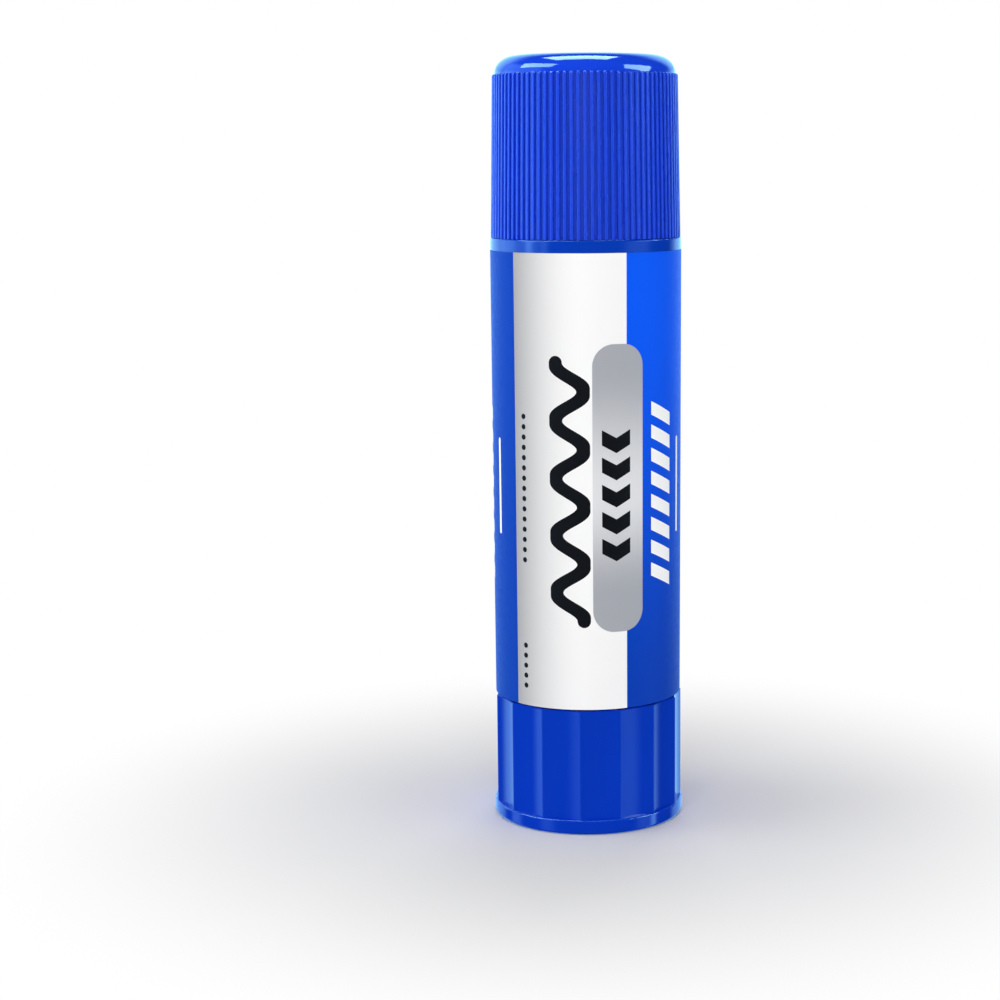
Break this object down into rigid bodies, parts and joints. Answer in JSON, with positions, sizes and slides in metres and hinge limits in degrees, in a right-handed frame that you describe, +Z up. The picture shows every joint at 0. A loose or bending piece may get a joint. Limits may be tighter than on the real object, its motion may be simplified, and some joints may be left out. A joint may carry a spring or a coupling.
{
  "type": "glue stick",
  "caption": "Twist-up glue stick with a ribbed push-on cap, a labelled barrel and a fluted base knob that screws the glue up out of the neck.",
  "frame": {"origin": "middle of the underside of the base knob, on the surface that the stick stands on", "axes": "+Z up along the stick's axis, towards the cap. The front, with the light panel of the label, faces -Y. +X is to the right seen from the front"},
  "size_m": [0.0304, 0.0304, 0.1207],
  "materials": {
    "barrel_plastic": "glossy moulded blue polypropylene",
    "label_film": "glossy printed film, white and blue panels with plain marks",
    "knob_plastic": "glossy moulded blue polypropylene",
    "mechanism_plastic": "natural white moulded polypropylene",
    "packing_rubber": "matt black rubber",
    "glue": "waxy off-white solid glue",
    "cap_plastic": "glossy moulded blue polypropylene",
    "seal_plastic": "soft natural white polyethylene"
  },
  "bodies": {
    "barrel": {"barrel": "barrel_plastic", "label": "label_film"},
    "knob": {"base_knob": "knob_plastic", "spindle": "mechanism_plastic", "packing_ring": "packing_rubber"},
    "carrier": {"carrier": "mechanism_plastic", "glue_stick": "glue"},
    "cap": {"cap": "cap_plastic", "cap_seal": "seal_plastic"}
  },
  "joints": [
    {"name": "glue_lift", "type": "slide", "parent": "barrel", "child": "carrier", "axis": [0, 0, 1], "range_m": [0, 0.072]},
    {"name": "knob_turn", "type": "hinge", "parent": "barrel", "child": "knob", "pos_m": [0, 0, 0], "axis": [0, 0, 1], "range_deg": [0, 5184]},
    {"name": "cap_pull", "type": "slide", "parent": "carrier", "child": "cap", "axis": [0, 0, 1], "range_m": [0, 0.03]}
  ],
  "couplings": [
    {"joint": "knob_turn", "follows": "glue_lift", "rad_per_m": 1256.6}
  ]
}
